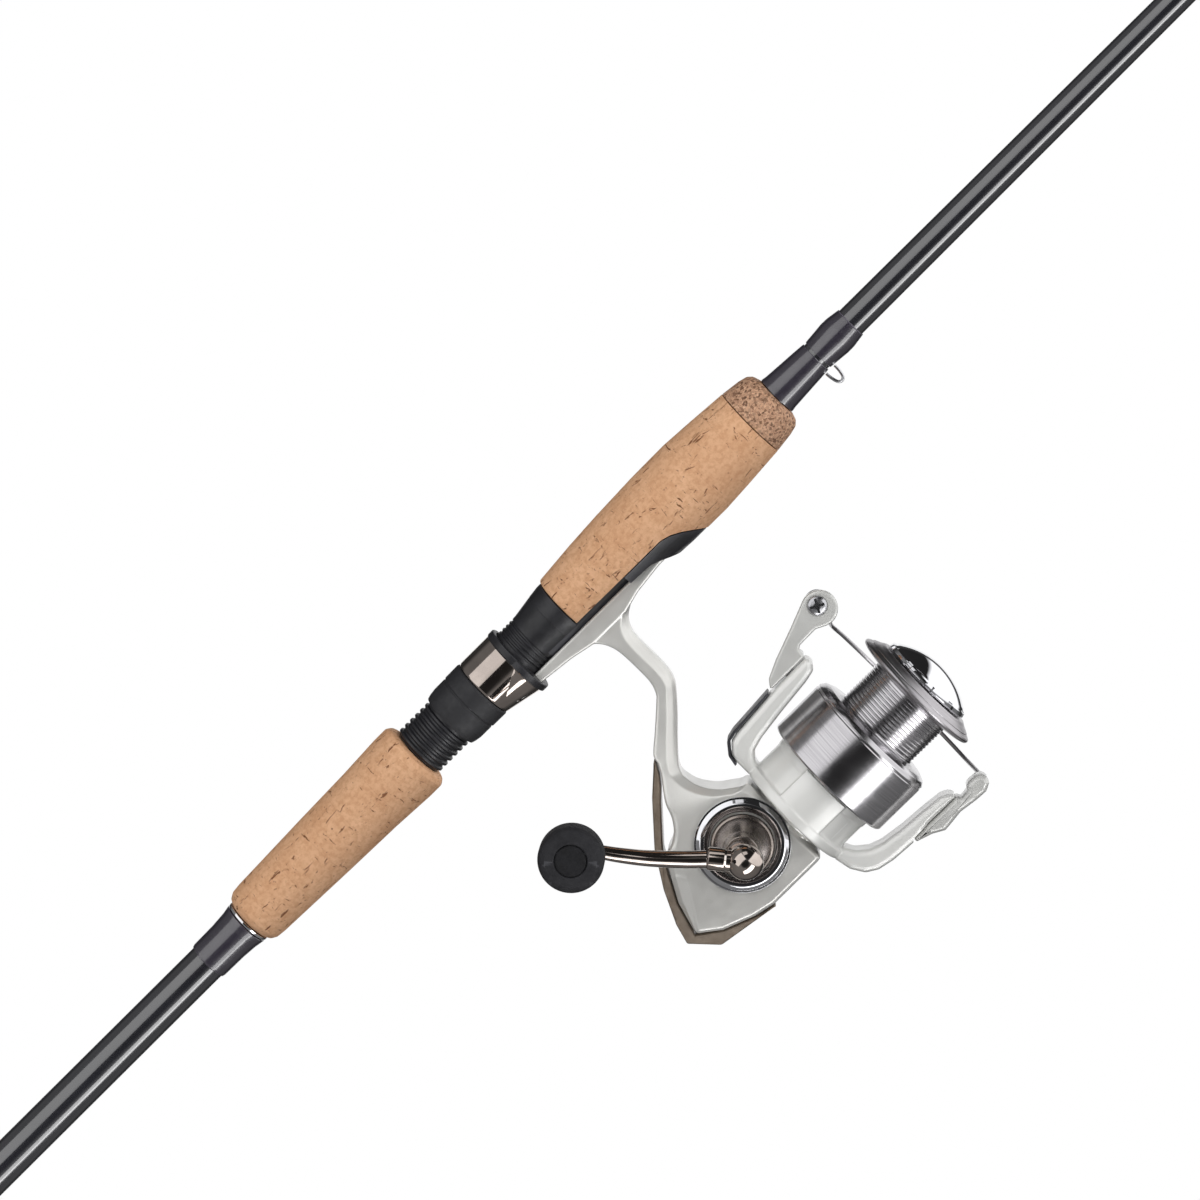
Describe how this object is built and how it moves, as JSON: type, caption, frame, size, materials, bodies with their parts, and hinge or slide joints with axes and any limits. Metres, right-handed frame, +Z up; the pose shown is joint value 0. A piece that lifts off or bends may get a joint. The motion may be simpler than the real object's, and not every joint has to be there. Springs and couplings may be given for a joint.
{
  "type": "spinning rod and reel",
  "caption": "Two-piece cork-gripped fishing rod with an open-face spinning reel clamped in its seat; crank, rotor, bail, spool and drag move.",
  "frame": {"origin": "on the rod's axis just ahead of the reel's stem, where a hand holds the rod", "axes": "+X along the rod towards the tip, +Z up with the reel hanging towards -Z, crank on the -Y side"},
  "size_m": [1.9809, 0.1166, 0.1451],
  "materials": {
    "rubber": "soft matte, finely textured",
    "cork": "sanded, matte, with dark lenticels",
    "burl_cork": "sanded, matte, coarse dark speckle",
    "graphite_blank": "clear coated gloss",
    "thread_wrap": "high gloss",
    "seat_plastic": "fine matte",
    "polished_chrome": "mirror",
    "gunmetal_chrome": "mirror, dark",
    "ceramic": "polished",
    "pearl_paint": "satin pearl",
    "white_paint": "satin pearl white",
    "taupe_paint": "satin metallic",
    "steel": "polished",
    "brass": "machined",
    "anodised_aluminium": "turned, clear anodised",
    "felt": "matte fibre"
  },
  "bodies": {
    "rod_butt": {"butt_cap": "rubber", "butt_grip": "cork", "butt_blank": "graphite_blank", "rear_trim_wrap": "thread_wrap", "rear_winding_check": "polished_chrome", "rear_grip": "cork", "reel_seat": "seat_plastic", "foregrip": "cork", "foregrip_burl_ring": "burl_cork", "fore_trim_wrap": "thread_wrap", "hook_keeper": "steel", "keeper_wrap": "thread_wrap", "guide_1_frame": "gunmetal_chrome", "guide_1_ring": "ceramic", "reel_body": "pearl_paint", "side_cover": "pearl_paint", "rear_cover": "taupe_paint", "side_ring": "polished_chrome", "side_cap": "polished_chrome", "crank_bearing": "steel", "far_bearing": "steel", "pinion_bearing": "steel", "one_way_clutch": "steel"},
    "seat_hood": {"seat_hood": "gunmetal_chrome"},
    "lock_nut": {"lock_nut": "seat_plastic"},
    "tip_section": {"tip_blank": "graphite_blank", "guide_2_frame": "gunmetal_chrome", "guide_2_ring": "ceramic", "guide_3_frame": "gunmetal_chrome", "guide_3_ring": "ceramic", "guide_4_frame": "gunmetal_chrome", "guide_4_ring": "ceramic", "guide_5_frame": "gunmetal_chrome", "guide_5_ring": "ceramic", "tip_top_frame": "gunmetal_chrome", "tip_top_ring": "ceramic"},
    "crank": {"drive_gear": "brass", "handle_collar": "gunmetal_chrome", "handle_hub": "gunmetal_chrome", "handle_arm": "gunmetal_chrome"},
    "handle_knob": {"handle_knob": "rubber", "knob_insert": "rubber"},
    "oscillation_gear": {"oscillation_gear": "steel"},
    "rotor": {"rotor": "white_paint", "pinion_gear": "brass", "rotor_nut": "steel", "rotor_arm_cover": "seat_plastic"},
    "bail": {"bail_arm": "white_paint", "bail_lever": "white_paint", "bail_wire": "steel", "roller_screw": "steel", "bail_pivot_upper": "steel", "bail_pivot_lower": "steel"},
    "line_roller": {"line_roller": "steel"},
    "main_shaft": {"main_shaft": "steel", "oscillation_slider": "brass", "drag_washer_metal": "steel"},
    "spool": {"spool": "anodised_aluminium", "drag_washer_felt": "felt"},
    "drag_knob": {"drag_knob": "polished_chrome"}
  },
  "joints": [
    {"name": "crank_turn", "type": "hinge", "parent": "rod_butt", "child": "crank", "pos_m": [-0.0267, 0, -0.0895], "axis": [0, 1, 0], "continuous": true},
    {"name": "knob_spin", "type": "hinge", "parent": "crank", "child": "handle_knob", "pos_m": [-0.05849, 0, -0.05052], "axis": [0, 1, 0], "continuous": true},
    {"name": "oscillation_gear_turn", "type": "hinge", "parent": "rod_butt", "child": "oscillation_gear", "pos_m": [-0.0364, 0, -0.098], "axis": [0, 1, 0], "continuous": true},
    {"name": "rotor_turn", "type": "hinge", "parent": "rod_butt", "child": "rotor", "pos_m": [0, 0, -0.0946], "axis": [1, 0, 0], "continuous": true},
    {"name": "bail_flip", "type": "hinge", "parent": "rotor", "child": "bail", "pos_m": [0.02, 0, -0.0946], "axis": [0, 0, -1], "range_deg": [0, 125]},
    {"name": "roller_spin", "type": "hinge", "parent": "bail", "child": "line_roller", "pos_m": [0.0409, 0, -0.054], "axis": [0, 1, 0], "continuous": true},
    {"name": "spool_oscillation", "type": "slide", "parent": "rod_butt", "child": "main_shaft", "axis": [1, 0, 0], "range_m": [0, 0.011]},
    {"name": "spool_drag_spin", "type": "hinge", "parent": "main_shaft", "child": "spool", "pos_m": [0.03, 0, -0.0946], "axis": [1, 0, 0], "continuous": true},
    {"name": "drag_knob_turn", "type": "hinge", "parent": "main_shaft", "child": "drag_knob", "pos_m": [0.05, 0, -0.0946], "axis": [1, 0, 0], "range_deg": [-720, 135]},
    {"name": "hood_slide", "type": "slide", "parent": "rod_butt", "child": "seat_hood", "axis": [-1, 0, 0], "range_m": [0, 0.0118]},
    {"name": "lock_nut_screw", "type": "hinge", "parent": "seat_hood", "child": "lock_nut", "pos_m": [-0.058, 0, 0], "axis": [1, 0, 0], "range_deg": [-2000, 2000]},
    {"name": "tip_pull_off", "type": "slide", "parent": "rod_butt", "child": "tip_section", "axis": [1, 0, 0], "range_m": [0, 0.06]}
  ],
  "couplings": [
    {"joint": "rotor_turn", "follows": "crank_turn", "ratio": 5.3333},
    {"joint": "oscillation_gear_turn", "follows": "crank_turn", "ratio": -0.63636},
    {"joint": "lock_nut_screw", "follows": "hood_slide", "rad_per_m": -2856}
  ]
}
